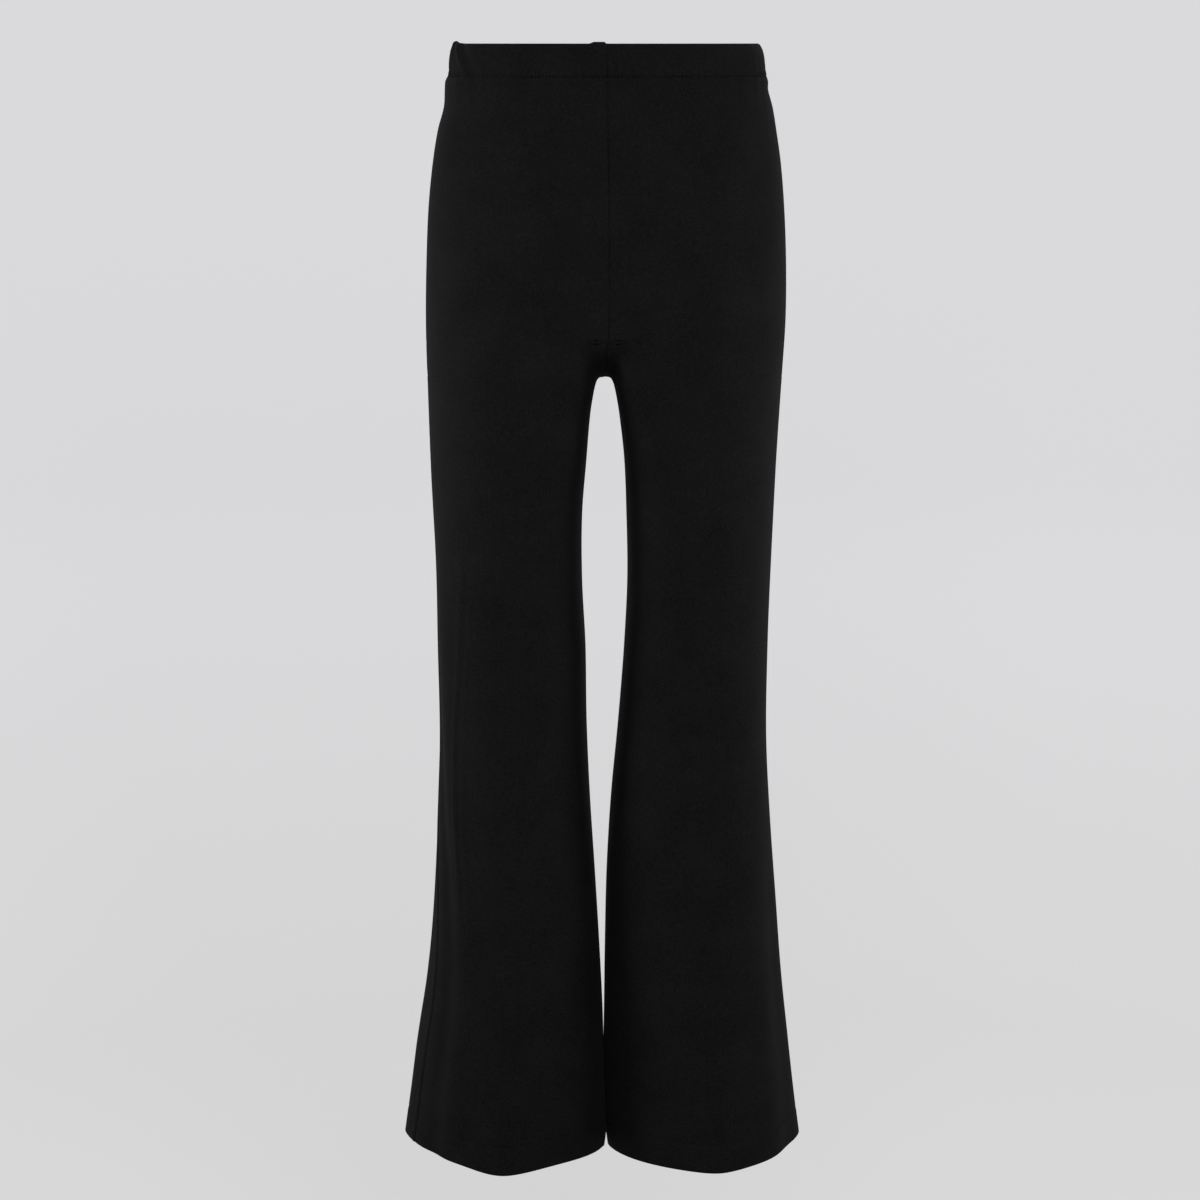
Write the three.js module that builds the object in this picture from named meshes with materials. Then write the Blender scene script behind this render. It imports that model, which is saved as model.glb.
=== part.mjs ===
// Pull-on bootcut trousers in stretch knit, worn and filled out: an elastic casing at the waist,
// four panels closed by centre, side and inside-leg seams, and a turned hem on each flared leg.
// Millimetres, +Z up, the front faces -Y, and +X is the wearer's left. The origin is the middle of
// the waist opening, half way up the casing. "drop" is the distance below it along the side seam.

import * as THREE from 'three';

// ---- driving dimensions ----

const CASING_HALF = 14.5;    // half the height of the elastic casing
const CLOTH = 1.2;           // one layer of knit
const HEM_CLOTH = 2.4;       // two layers at the turn-up
const HEM_TURN = 25;         // height of the turn-up
const SEAM_GAP = 0.3;        // between neighbouring panels
const CROTCH = 277;          // drop of the point where the four panels meet
const CROTCH_Y = 3;          // how far behind the origin that point is
const HEM = 985;             // drop of the hem at the side seam
const WAIST_TILT = 14;       // the front of the waist is this much lower than its sides
const TILT_REACH = 95;       // front-to-back distance over which it drops that much
const BACK_TILT = 0.6;       // slope behind the sides, as a share of the slope in front of them
const TILT_FADE = { from: 10, over: 200 };
const ARCH = { height: 26, power: 4.4 };   // the rounded top of the gap between the legs
const CORNER = 0.01;         // softens a section's four corners

// The crotch seam leaves the centre line at "height" above the crotch and curves under the body.
// The torso's section starts to turn into the legs' at "blend" and has done so at "split".
const RISE = {
  front: { height: 38, power: 2.4, blend: 140, split: 43 },
  back: { height: 90, power: 2.1, blend: 190, split: 95 },
};
const RISE_UPRIGHT = 0.9999;   // past this share of its reach the crotch seam stands upright
const SEAM_FADE = 40;          // the centre seams' sideways drift ends over this, at the crotch

// A table as an object of columns.
function byColumn(names, rows) {
  return Object.fromEntries(names.map((name, column) => [name, rows.map((row) => row[column])]));
}

// Half widths of the outside, and the front-to-back place of its widest line.
const OUTLINE = byColumn(['drop', 'right', 'left', 'middle'], [
  [-14.5, 133.3,   136,   0],
  [   -8, 135.2, 138.9,   0],
  [    4, 136.7, 140.9,   0],
  [   10, 136.9, 141.7,   0],
  [ 14.5, 138.6,   143,   0],
  [   18, 140.2,   144,   0],
  [   25, 140.8, 144.1,   0],
  [   40, 141.8, 148.2,   1],
  [   60, 147.2, 151.7,   2],
  [   90, 152.2, 156.3,   3],
  [  130, 156.4, 159.8, 4.5],
  [  180, 158.8, 161.8,   5],
  [  230, 159.6, 161.8, 4.5],
  [  290, 158.5, 158.3,   4],
  [  360, 156.5, 154.2, 3.5],
  [  440,   153, 151.1, 2.5],
  [  520,   152, 148.8,   1],
  [  600, 150.8, 148.4,   0],
  [  680, 153.7, 152.9, 0.5],
  [  760, 158.2, 159.2, 1.5],
  [  830, 165.7, 165.2, 2.5],
  [  890,   175, 171.9, 3.5],
  [  940, 181.7, 178.1,   4],
  [  985, 188.3, 184.2,   5],
]);

// Waist and hips: distances of the centre front and centre back from the origin, the sideways
// drift of the centre seams, and how square the section is.
const TORSO = byColumn(['drop', 'front', 'back', 'seam', 'power'], [
  [-16,  90,  92, 1.8,  2.2],
  [ 16,  91,  93, 1.8,  2.2],
  [ 22,  94,  96, 1.9,  2.2],
  [ 60, 101, 108, 2.4,  2.3],
  [110, 106, 121, 3.2, 2.35],
  [170, 104, 126, 3.6,  2.4],
  [230, 100, 115, 3.2,  2.4],
  [290,  97,  98, 0.8,  2.4],
]);

// Legs: the inner outline from the centre plane, the line that stands furthest forward (ridge),
// front and back depths, how far behind the centre the inside-leg seams run, corner powers, and
// the turn of the side seams towards the front, in degrees. Above the hem the right leg's inside
// passes just in front of the left one's.
const LEG = byColumn([
  'drop', 'innerRight', 'innerLeft', 'ridgeRight', 'ridgeLeft', 'front', 'back',
  'inseamRight', 'inseamLeft', 'powerInner', 'powerFront', 'powerBack', 'turnRight', 'turnLeft',
], [
  [140,    6,    6, 76,  76,   99,  119,    3,   3,    4,  2.1,  2.1,    0,  0],
  [210,    6,    6, 78,  78,   98,  117,    3,   3,    5,  2.1,  2.1,    0,  0],
  [275,    8,    8, 80,  80,   98,  105,    3,   3,    6,  2.1,  2.1,    0,  0],
  [310,   13, 13.5, 82,  82,   96,   96,    3,   3,  4.6,  2.1,  2.1,    0,  0],
  [350, 16.5,   18, 84,  84,   94,   88,    2,   2,  3.9,  2.1,  2.1,    0,  0],
  [400, 20.5,   20, 86,  86,   90,   80,    2,   2,  3.4, 2.15, 2.15,    0,  0],
  [460, 20.5,   21, 87,  87,   85,   72,    1,   1,    3,  2.2,  2.2,    0,  0],
  [520, 17.5,   18, 86,  86,   79,   66,    0,   0,  2.8,  2.2,  2.2,    0,  0],
  [590, 16.5, 12.5, 85,  85,   73,   62,   -1,  -1,  2.5,  2.2,  2.2,    0,  0],
  [660, 13.5,    6, 84,  85,   71,   62, -2.5,  -2,  2.3,  2.1,  2.1,    8,  0],
  [730,    9,    2, 83,  87,   73,   66, -4.5,  -2,  2.1,    2, 2.05,   19,  0],
  [800,  4.8,  0.4, 84,  90,   77,   72,   -7,  -1,  1.9, 1.85, 1.95,   26, -2],
  [860,  1.8, -0.4, 86,  94,   81,   78, -9.5,   0,  1.7,  1.7, 1.85,   26, -4],
  [910,  0.6, -1.1, 88,  97,   85,   82,  -12,   0,  1.6,  1.6, 1.75,   23, -5],
  [950, -0.8,  0.4, 90, 100,   88,   85,  -14,  -2,  1.5,  1.5,  1.7,   21, -6],
  [968, -1.5,  1.2, 91, 101, 89.5, 86.5,  -15,  -3, 1.48, 1.48, 1.68, 20.5, -6],
  [985,  0.3,  3.4, 92, 102,   91,   88,  -16,  -4, 1.45, 1.45, 1.65,   20, -6],
]);

// How far the hem hangs below its height at the side seam: everywhere, at the inside-leg seam and
// in the middle of the front. The powers say how soon the last two fade across the panel.
const HEM_SAG = {
  right: { all: 0, inseam: 6.5, inseamPower: 4, front: 4.6 },
  left: { all: 1.5, inseam: 8.5, inseamPower: 2, front: -1 },
  frontPower: 6,
  from: 860,
  over: 120,
};

// The casing's section: how deep its two faces lie inside the waist's outline.
const CASING = byColumn(['drop', 'outer', 'inner'], [
  [-14.5,  1.4, 2.6],
  [-14.1,  0.5, 3.5],
  [-12.6,    0,   4],
  [   -7, -0.3,   4],
  [    0, -0.5,   4],
  [    7, -0.3,   4],
  [14.35,    0,   4],
]);

// Soft folds: "at" and "drift" are shares of a panel's width from its inner seam, "lift" is how
// far the cloth stands out, and below zero it is a trough.
const FOLD_FADE = { seam: 0.12, end: 0.3 };   // shares of the width and of a fold's own length
const FOLDS = [
  { side: 'right', face: 'front', at: 0.82, drift: -0.08, top: 330, bottom: 1150, spread: 0.07, lift: 2 },
  { side: 'right', face: 'front', at: 0.92, drift: -0.08, top: 400, bottom: 1100, spread: 0.05, lift: -1.8 },
  { side: 'left', face: 'front', at: 0.73, drift: -0.02, top: 560, bottom: 1200, spread: 0.08, lift: 1.8 },
  { side: 'left', face: 'front', at: 0.87, drift: -0.05, top: 640, bottom: 1200, spread: 0.06, lift: -1.5 },
  { side: 'right', face: 'back', at: 0.66, drift: -0.06, top: 300, bottom: 640, spread: 0.08, lift: -2.5 },
  { side: 'left', face: 'back', at: 0.62, drift: -0.02, top: 310, bottom: 700, spread: 0.09, lift: -2.2 },
  { side: 'right', face: 'back', at: 0.30, drift: 0.05, top: 620, bottom: 1200, spread: 0.08, lift: 2.6 },
  { side: 'left', face: 'back', at: 0.34, drift: -0.04, top: 660, bottom: 1200, spread: 0.08, lift: 2.4 },
  { side: 'left', face: 'back', at: 0.76, drift: 0.04, top: 680, bottom: 1200, spread: 0.07, lift: -2.4 },
  { side: 'right', face: 'back', at: 0.78, drift: 0.02, top: 650, bottom: 1200, spread: 0.07, lift: -2 },
];

// Each panel is one cut piece, but its solid comes in three stretches, a seam gap apart, so that
// each of them bends little from end to end. One ends at the first row of points past "bottom".
const STRETCHES = byColumn(['name', 'bottom'], [
  ['rise',  300],
  ['thigh', 600],
  ['flare', HEM],
]);

const COLUMNS = 14;          // across one panel, half on each side of the ridge
const TRACE = 160;           // steps along a section before it is spaced evenly
const TORSO_ROWS = 22;
const ROW_CROWDING = 1.7;    // how much closer together they are at the crotch
const LEG_ROWS = 24;
const CROTCH_ROWS = [1, 3, 6, 11, 18, 29];   // rows just below the crotch, from it

const SIDES = { right: -1, left: 1 };
const FACES = { front: -1, back: 1 };
const KNIT = { color: 0x18181b, roughness: 0.85, metalness: 0 };

// ---- small helpers ----

// A smooth curve through one column of a table: cubic, with slopes from the neighbouring rows.
function lookUp(table, column, drop) {
  const x = table.drop;
  const y = table[column];
  const last = x.length - 1;
  const place = THREE.MathUtils.clamp(drop, x[0], x[last]);
  let i = 0;
  while (i < last - 1 && place >= x[i + 1]) i += 1;
  const slope = (k) => {
    const low = Math.max(k - 1, 0);
    const high = Math.min(k + 1, last);
    return (y[high] - y[low]) / (x[high] - x[low]);
  };
  const step = x[i + 1] - x[i];
  const s = (place - x[i]) / step;
  const r = 1 - s;
  return (1 + 2 * s) * r * r * y[i] + s * r * r * step * slope(i)
    + s * s * (3 - 2 * s) * y[i + 1] - s * s * r * step * slope(i + 1);
}

const ease = (t) => THREE.MathUtils.smootherstep(t, 0, 1);
const waistSlope = (y) => WAIST_TILT / TILT_REACH * Math.min(y, BACK_TILT * y);
const capital = (word) => word[0].toUpperCase() + word.slice(1);

// Radius of a rounded square of the given power at an angle, 1 on its four axes.
function squareness(angle, power) {
  const soft = (value) => (value * value + CORNER) ** (power / 2);
  const onAxis = soft(1) + soft(0);
  return (onAxis / (soft(Math.sin(angle)) + soft(Math.cos(angle)))) ** (1 / power);
}

// Points of a traced section, from its start to the side seam: half the columns before the ridge
// and half after it. Where the crotch seam cuts a section short of its full inner length, the
// columns crowd towards the seam, so that those near the ridge run straight down. The ends stop
// half a seam gap short.
function spaced({ trace, ridge }, fullInner) {
  const run = [0];
  for (let i = 1; i < trace.length; i += 1) run.push(run[i - 1] + trace[i].distanceTo(trace[i - 1]));
  const whole = Math.floor(ridge);
  const middle = THREE.MathUtils.lerp(run[whole], run[whole + 1], ridge - whole);
  const start = SEAM_GAP / 2;
  const end = run[run.length - 1] - SEAM_GAP / 2;
  const crowding = Math.max(fullInner / middle, 1);
  const points = [];
  let k = 0;
  for (let c = 0; c <= COLUMNS; c += 1) {
    const share = 2 * c / COLUMNS;
    const length = share < 1
      ? THREE.MathUtils.lerp(start, middle, share ** crowding)
      : THREE.MathUtils.lerp(middle, end, share - 1);
    while (k < run.length - 2 && run[k + 1] < length) k += 1;
    const part = (length - run[k]) / Math.max(run[k + 1] - run[k], 1e-9);
    points.push(trace[k].clone().lerp(trace[k + 1], part));
  }
  return points;
}

// ---- sections ----

// Half of the torso's section, from the centre seam round to the side seam.
function torsoTrace(side, face, drop) {
  const outer = lookUp(OUTLINE, side, drop);
  const middle = lookUp(OUTLINE, 'middle', drop);
  const depth = FACES[face] * lookUp(TORSO, face, drop) - middle;
  const power = lookUp(TORSO, 'power', drop);
  const seam = lookUp(TORSO, 'seam', drop);
  const ridgeX = lookUp(LEG, `ridge${capital(side)}`, drop);
  const trace = [];
  let ridge = 0;
  for (let i = 0; i <= TRACE; i += 1) {
    const t = i / TRACE;
    const angle = t * Math.PI / 2;
    const round = squareness(angle, power);
    const x = outer * Math.sin(angle) * round;
    if (x < ridgeX) ridge = i;
    const drift = seam * (1 - t) ** 2;
    trace.push(new THREE.Vector2(SIDES[side] * x + drift, middle + depth * Math.cos(angle) * round));
  }
  return { trace, ridge: Math.min(ridge, TRACE - 1) };
}

// One panel's share of a leg's section, from the inside-leg seam round to the side seam. Above
// the crotch it is cut off where it meets the crotch seam, and drawn in to the centre plane.
function legTrace(side, face, drop) {
  const sign = FACES[face];
  const other = face === 'front' ? 'back' : 'front';
  const name = capital(side);
  const outer = lookUp(OUTLINE, side, drop);
  const middle = lookUp(OUTLINE, 'middle', drop);
  const inner = lookUp(LEG, `inner${name}`, drop);
  const ridgeX = lookUp(LEG, `ridge${name}`, drop);
  const inseam = lookUp(LEG, `inseam${name}`, drop);
  const turn = THREE.MathUtils.degToRad(lookUp(LEG, `turn${name}`, drop)) * sign;
  const depth = sign * lookUp(LEG, face, drop) - middle;
  const otherDepth = -sign * lookUp(LEG, other, drop) - middle;
  const powerInner = lookUp(LEG, 'powerInner', drop);
  const power = lookUp(LEG, `power${capital(face)}`, drop);
  const otherPower = lookUp(LEG, `power${capital(other)}`, drop);

  const rise = RISE[face];
  const up = CROTCH - drop;
  const share = THREE.MathUtils.clamp(1 - up / rise.height, 0, 1);
  const reach = up > 0 ? (1 - share ** rise.power) ** (1 / rise.power) : 0;
  const span = lookUp(TORSO, face, drop) - sign * CROTCH_Y;
  const seamY = CROTCH_Y + sign * reach * span;

  const trace = [];
  for (let i = 0; i <= TRACE; i += 1) {
    const angle = -Math.PI / 2 + (i / TRACE) * (Math.PI + turn);
    const past = Math.cos(angle) < 0;
    const usedPower = past ? otherPower : power;
    const round = squareness(angle, angle < 0 ? powerInner : usedPower);
    const base = middle + (inseam - middle) * Math.max(-Math.sin(angle), 0) ** 2;
    const y = base + (past ? otherDepth : depth) * Math.abs(Math.cos(angle)) * round;
    const width = angle < 0 ? ridgeX - inner : outer - ridgeX;
    let x = ridgeX + width * Math.sin(angle) * round;
    const cut = angle < 0 && up > 0 && y * sign <= seamY * sign;
    if (angle < 0) {
      const along = THREE.MathUtils.clamp((y - CROTCH_Y) * sign / span, 0, 1);
      const seamUp = rise.height * (1 - (1 - along ** rise.power) ** (1 / rise.power));
      const below = along > RISE_UPRIGHT ? ARCH.height : seamUp - up;
      const rest = 1 - THREE.MathUtils.clamp(below / ARCH.height, 0, 1);
      x *= (1 - rest ** ARCH.power) ** (1 / ARCH.power);
    }
    trace.push(cut ? new THREE.Vector2(0, seamY) : new THREE.Vector2(SIDES[side] * x, y));
  }
  return { trace, ridge: 0.5 * TRACE / (1 + turn / Math.PI) };
}

// Length of a section from its start to its ridge.
function innerLength({ trace, ridge }) {
  let length = 0;
  for (let i = 1; i <= ridge; i += 1) length += trace[i].distanceTo(trace[i - 1]);
  return length;
}

// One row of a panel's outside, from its inner seam to the side seam.
function panelRow(side, face, drop) {
  const rise = RISE[face];
  const toLeg = ease((drop - (CROTCH - rise.blend)) / (rise.blend - rise.split));
  const fullInner = innerLength(legTrace(side, face, CROTCH));
  const torsoPoints = spaced(torsoTrace(side, face, drop), fullInner);
  const legPoints = spaced(legTrace(side, face, drop), drop < CROTCH ? fullInner : 0);
  const seam = toLeg * lookUp(TORSO, 'seam', drop) * ease((CROTCH - drop) / SEAM_FADE);
  const outer = lookUp(OUTLINE, side, drop);
  const tilt = 1 - ease((drop - TILT_FADE.from) / TILT_FADE.over);
  const sag = HEM_SAG[side];
  const low = ease((drop - HEM_SAG.from) / HEM_SAG.over);
  return torsoPoints.map((point, c) => {
    const share = c / COLUMNS;
    point.lerp(legPoints[c], toLeg);
    point.x += seam * (1 - Math.abs(point.x) / outer) ** 2;
    const front = face === 'front' ? sag.front * Math.sin(Math.PI * share) ** HEM_SAG.frontPower : 0;
    const hang = low * (sag.all + sag.inseam * (1 - share) ** sag.inseamPower + front);
    return new THREE.Vector3(point.x, point.y, -drop + tilt * waistSlope(point.y) - hang);
  });
}

// How far the folds lift one point of a panel.
function foldLift(side, face, share, drop) {
  let lift = 0;
  for (const fold of FOLDS) {
    if (fold.side !== side || fold.face !== face) continue;
    const length = fold.bottom - fold.top;
    const centre = fold.at + fold.drift * (drop - fold.top) / length;
    const across = Math.exp(-(((share - centre) / fold.spread) ** 2));
    const end = FOLD_FADE.end * length;
    lift += fold.lift * across * ease((drop - fold.top) / end) * ease((fold.bottom - drop) / end);
  }
  return lift * ease(share / FOLD_FADE.seam) * ease((1 - share) / FOLD_FADE.seam);
}

// ---- solids ----

// Outward directions over a grid of points, from its rows and columns.
function directions(grid, outward) {
  return grid.map((row, r) => row.map((_, c) => {
    const above = grid[Math.max(r - 1, 0)][c];
    const below = grid[Math.min(r + 1, grid.length - 1)][c];
    const before = row[Math.max(c - 1, 0)];
    const after = row[Math.min(c + 1, row.length - 1)];
    const down = below.clone().sub(above);
    const across = after.clone().sub(before);
    return down.cross(across).multiplyScalar(outward).normalize();
  }));
}

// A closed wall between an outer grid and an inner one of the same size.
function wallGeometry(outer, inner, outward) {
  const rows = outer.length;
  const columns = outer[0].length;
  const position = [];
  for (const grid of [outer, inner]) {
    for (const row of grid) for (const point of row) position.push(point.x, point.y, point.z);
  }
  const out = (r, c) => r * columns + c;
  const inside = (r, c) => rows * columns + r * columns + c;
  const index = [];
  const quad = (a, b, c, d) => {
    if (outward > 0) index.push(a, b, c, a, c, d);
    else index.push(a, c, b, a, d, c);
  };
  for (let r = 0; r < rows - 1; r += 1) {
    for (let c = 0; c < columns - 1; c += 1) {
      quad(out(r, c), out(r + 1, c), out(r + 1, c + 1), out(r, c + 1));
      quad(inside(r, c), inside(r, c + 1), inside(r + 1, c + 1), inside(r + 1, c));
    }
    quad(out(r, 0), inside(r, 0), inside(r + 1, 0), out(r + 1, 0));
    const end = columns - 1;
    quad(out(r, end), out(r + 1, end), inside(r + 1, end), inside(r, end));
  }
  for (let c = 0; c < columns - 1; c += 1) {
    const end = rows - 1;
    quad(out(0, c), out(0, c + 1), inside(0, c + 1), inside(0, c));
    quad(out(end, c), inside(end, c), inside(end, c + 1), out(end, c + 1));
  }
  const geometry = new THREE.BufferGeometry();
  geometry.setAttribute('position', new THREE.Float32BufferAttribute(position, 3));
  geometry.setIndex(index);
  geometry.computeVertexNormals();
  return geometry;
}

function named(name, geometry) {
  const mesh = new THREE.Mesh(geometry, new THREE.MeshStandardMaterial(KNIT));
  mesh.name = name;
  return mesh;
}

// Rows crowd towards the crotch, where the section changes fastest.
function panelDrops() {
  const top = CASING_HALF + SEAM_GAP / 2;
  const drops = [];
  for (let i = 0; i <= TORSO_ROWS; i += 1) {
    drops.push(CROTCH - (CROTCH - top) * (1 - i / TORSO_ROWS) ** ROW_CROWDING);
  }
  for (const below of CROTCH_ROWS) drops.push(CROTCH + below);
  const legTop = drops[drops.length - 1];
  const turn = HEM - HEM_TURN;
  for (let i = 1; i <= LEG_ROWS; i += 1) drops.push(THREE.MathUtils.lerp(legTop, turn - 1, i / LEG_ROWS));
  drops.push(turn, HEM - HEM_TURN / 2, HEM);
  return drops;
}

// The solids of one panel, from its outer and inner grids.
function stretchSolids(panelName, drops, outer, inner, outward) {
  let first = 0;
  return STRETCHES.name.map((stretch, i) => {
    const last = drops.findIndex((drop) => drop >= STRETCHES.bottom[i]);
    const part = (grid) => grid.slice(first, last + 1).map((row, r) => {
      let shift = 0;
      if (r === 0 && first > 0) shift = -SEAM_GAP / 2;
      if (r === last - first && last < drops.length - 1) shift = SEAM_GAP / 2;
      return row.map((point) => point.clone().setZ(point.z + shift));
    });
    const solid = named(`${panelName}_${stretch}`, wallGeometry(part(outer), part(inner), outward));
    first = last;
    return solid;
  });
}

// Front and back panel of one leg, made together so that their walls agree at the seams.
function legPanels(side) {
  const drops = panelDrops();
  const grids = {};
  const normals = {};
  const outwards = {};
  for (const face of ['front', 'back']) {
    outwards[face] = -SIDES[side] * FACES[face];
    grids[face] = drops.map((drop) => panelRow(side, face, drop));
    normals[face] = directions(grids[face], outwards[face]);
  }
  drops.forEach((drop, r) => {
    const front = normals.front[r];
    const back = normals.back[r];
    const share = (a, b) => {
      a.add(b).normalize();
      b.copy(a);
    };
    share(front[COLUMNS], back[COLUMNS]);
    if (drop > CROTCH) share(front[0], back[0]);
    else {
      front[0].setX(0).normalize();
      back[0].setX(0).normalize();
    }
    if (drop === CROTCH) {
      front[0].set(0, 0, -1);
      back[0].set(0, 0, -1);
    }
  });
  return ['front', 'back'].flatMap((face) => {
    const outer = grids[face].map((row, r) => row.map((point, c) => {
      const lift = foldLift(side, face, c / COLUMNS, drops[r]);
      return point.clone().addScaledVector(normals[face][r][c], lift);
    }));
    const inner = outer.map((row, r) => row.map((point, c) => {
      const wall = drops[r] >= HEM - HEM_TURN ? HEM_CLOTH : CLOTH;
      return point.clone().addScaledVector(normals[face][r][c], -wall);
    }));
    return stretchSolids(`${face}_${side}`, drops, outer, inner, outwards[face]);
  });
}

// A quarter of the elastic casing, round at its top edge.
function casing(side, face) {
  const outward = -SIDES[side] * FACES[face];
  const outer = [];
  const inner = [];
  CASING.drop.forEach((drop, i) => {
    const row = spaced(torsoTrace(side, face, drop), 0);
    const place = (depth) => row.map((point, c) => {
      const along = row[Math.min(c + 1, COLUMNS)].clone().sub(row[Math.max(c - 1, 0)]).normalize();
      if (c === 0) along.set(SIDES[side], 0);
      if (c === COLUMNS) along.set(0, -FACES[face]);
      const x = point.x + along.y * outward * -depth;
      const y = point.y - along.x * outward * -depth;
      return new THREE.Vector3(x, y, -drop + waistSlope(y));
    });
    outer.push(place(CASING.outer[i]));
    inner.push(place(CASING.inner[i]));
  });
  return named(`waistband_${face}_${side}`, wallGeometry(outer, inner, outward));
}

// ---- the trousers ----

const trousers = new THREE.Group();
for (const side of ['right', 'left']) {
  trousers.add(...legPanels(side));
  for (const face of ['front', 'back']) trousers.add(casing(side, face));
}

export default trousers;
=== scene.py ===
import bpy
import math
import numpy as np
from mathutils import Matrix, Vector


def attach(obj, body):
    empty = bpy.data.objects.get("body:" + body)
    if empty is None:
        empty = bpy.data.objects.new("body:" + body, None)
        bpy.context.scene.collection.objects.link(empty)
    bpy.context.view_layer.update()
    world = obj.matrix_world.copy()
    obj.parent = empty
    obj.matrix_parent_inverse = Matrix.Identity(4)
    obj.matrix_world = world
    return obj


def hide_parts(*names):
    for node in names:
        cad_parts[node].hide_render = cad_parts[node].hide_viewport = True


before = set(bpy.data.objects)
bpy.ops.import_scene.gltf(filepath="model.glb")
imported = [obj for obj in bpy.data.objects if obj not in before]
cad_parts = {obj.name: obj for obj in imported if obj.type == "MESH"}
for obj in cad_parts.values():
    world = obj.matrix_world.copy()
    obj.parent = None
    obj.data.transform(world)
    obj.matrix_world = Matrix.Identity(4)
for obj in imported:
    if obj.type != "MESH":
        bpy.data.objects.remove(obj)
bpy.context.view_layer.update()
print("frame loaded:", ", ".join(sorted(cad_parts)))

# The cut is worked out in millimetres, as a tailor would, and becomes metres only in makeMesh.
# "drop" is the distance below the middle of the casing, measured down the side seam.
# A side is -1 for the wearer's right and 1 for the left; a face is -1 for front, 1 for back.
metres = 0.001
sides = {"right": -1, "left": 1}
faces = {"front": -1, "back": 1}

camera = {
    "place": (-0.004, -1.8, -0.2487),
    "tiltDown": math.radians(7.30),
    "lens": 59.73,
    "sensor": 36,
}

lens = bpy.data.cameras.new("camera")
lens.lens = camera["lens"]
lens.sensor_width = camera["sensor"]
cameraObject = bpy.data.objects.new("camera", lens)
bpy.context.collection.objects.link(cameraObject)
cameraObject.location = camera["place"]
cameraObject.rotation_euler = (math.pi / 2 - camera["tiltDown"], 0, 0)
bpy.context.scene.camera = cameraObject
print("camera placed")

cut = {
    "casingHalf": 14.5,
    "casingWall": 4,
    "turnedWall": 2.5,      # two layers, below the waist stitches
    "waistJoin": 18,        # where the turned cloth of the waist ends
    "cloth": 1.2,
    "hemTurn": 25,
    "crotch": 277,
    "crotchY": 3,
    "hem": 985,
    "waistTilt": 14,        # the front of the waist is this much lower than its sides
    "tiltReach": 95,        # over this distance from side to front
    "backTilt": 0.6,        # slope behind the sides, as a share of the slope in front of them
    "tiltFrom": 10,
    "tiltOver": 200,
    "archHeight": 26,       # rounded top of the gap between the legs
    "archPower": 4.4,
    "corner": 0.01,         # softens a section's four corners
    "seamFade": 40,
    "upright": 0.9999,
}

# The crotch seam leaves the centre line at "height" above the crotch and curves under the body.
# The torso's section starts to turn into the legs' at "blend" and has done so at "split".
rise = {
    "front": {"height": 38, "power": 2.4, "blend": 140, "split": 43},
    "back": {"height": 90, "power": 2.1, "blend": 190, "split": 95},
}

# How far the hem hangs below its height at the side seam: everywhere, at the inside-leg seam and
# in the middle of the front. The powers say how soon the last two fade across the panel.
hemSag = {
    "right": {"all": 0, "inseam": 6.5, "inseamPower": 4, "front": 4.6},
    "left": {"all": 1.5, "inseam": 8.5, "inseamPower": 2, "front": -1},
    "frontPower": 6,
    "from": 860,
    "over": 120,
}


# A table by its columns: each column's name with the numbers below it.
def byColumn(names, *rows):
    return dict(zip(names.split(), np.array(rows, float).T))


# Half widths of the outside, and the front-to-back place of its widest line.
outline = byColumn(
    "drop right left middle",
    (-14.5, 133.3, 136, 0),
    (-8, 135.2, 138.9, 0),
    (4, 136.7, 140.9, 0),
    (10, 136.9, 141.7, 0),
    (14.5, 138.6, 143, 0),
    (18, 140.2, 144, 0),
    (25, 140.8, 144.1, 0),
    (40, 141.8, 148.2, 1),
    (60, 147.2, 151.7, 2),
    (90, 152.2, 156.3, 3),
    (130, 156.4, 159.8, 4.5),
    (180, 158.8, 161.8, 5),
    (230, 159.6, 161.8, 4.5),
    (290, 158.5, 158.3, 4),
    (360, 156.5, 154.2, 3.5),
    (440, 153, 151.1, 2.5),
    (520, 152, 148.8, 1),
    (600, 150.8, 148.4, 0),
    (680, 153.7, 152.9, 0.5),
    (760, 158.2, 159.2, 1.5),
    (830, 165.7, 165.2, 2.5),
    (890, 175, 171.9, 3.5),
    (940, 181.7, 178.1, 4),
    (985, 188.3, 184.2, 5),
)

# Waist and hips: centre front and centre back from the origin, the sideways drift of the
# centre seams, and how square the section is.
torso = byColumn(
    "drop front back seam power",
    (-16, 90, 92, 1.8, 2.2),
    (16, 91, 93, 1.8, 2.2),
    (22, 94, 96, 1.9, 2.2),
    (60, 101, 108, 2.4, 2.3),
    (110, 106, 121, 3.2, 2.35),
    (170, 104, 126, 3.6, 2.4),
    (230, 100, 115, 3.2, 2.4),
    (290, 97, 98, 0.8, 2.4),
)

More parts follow.
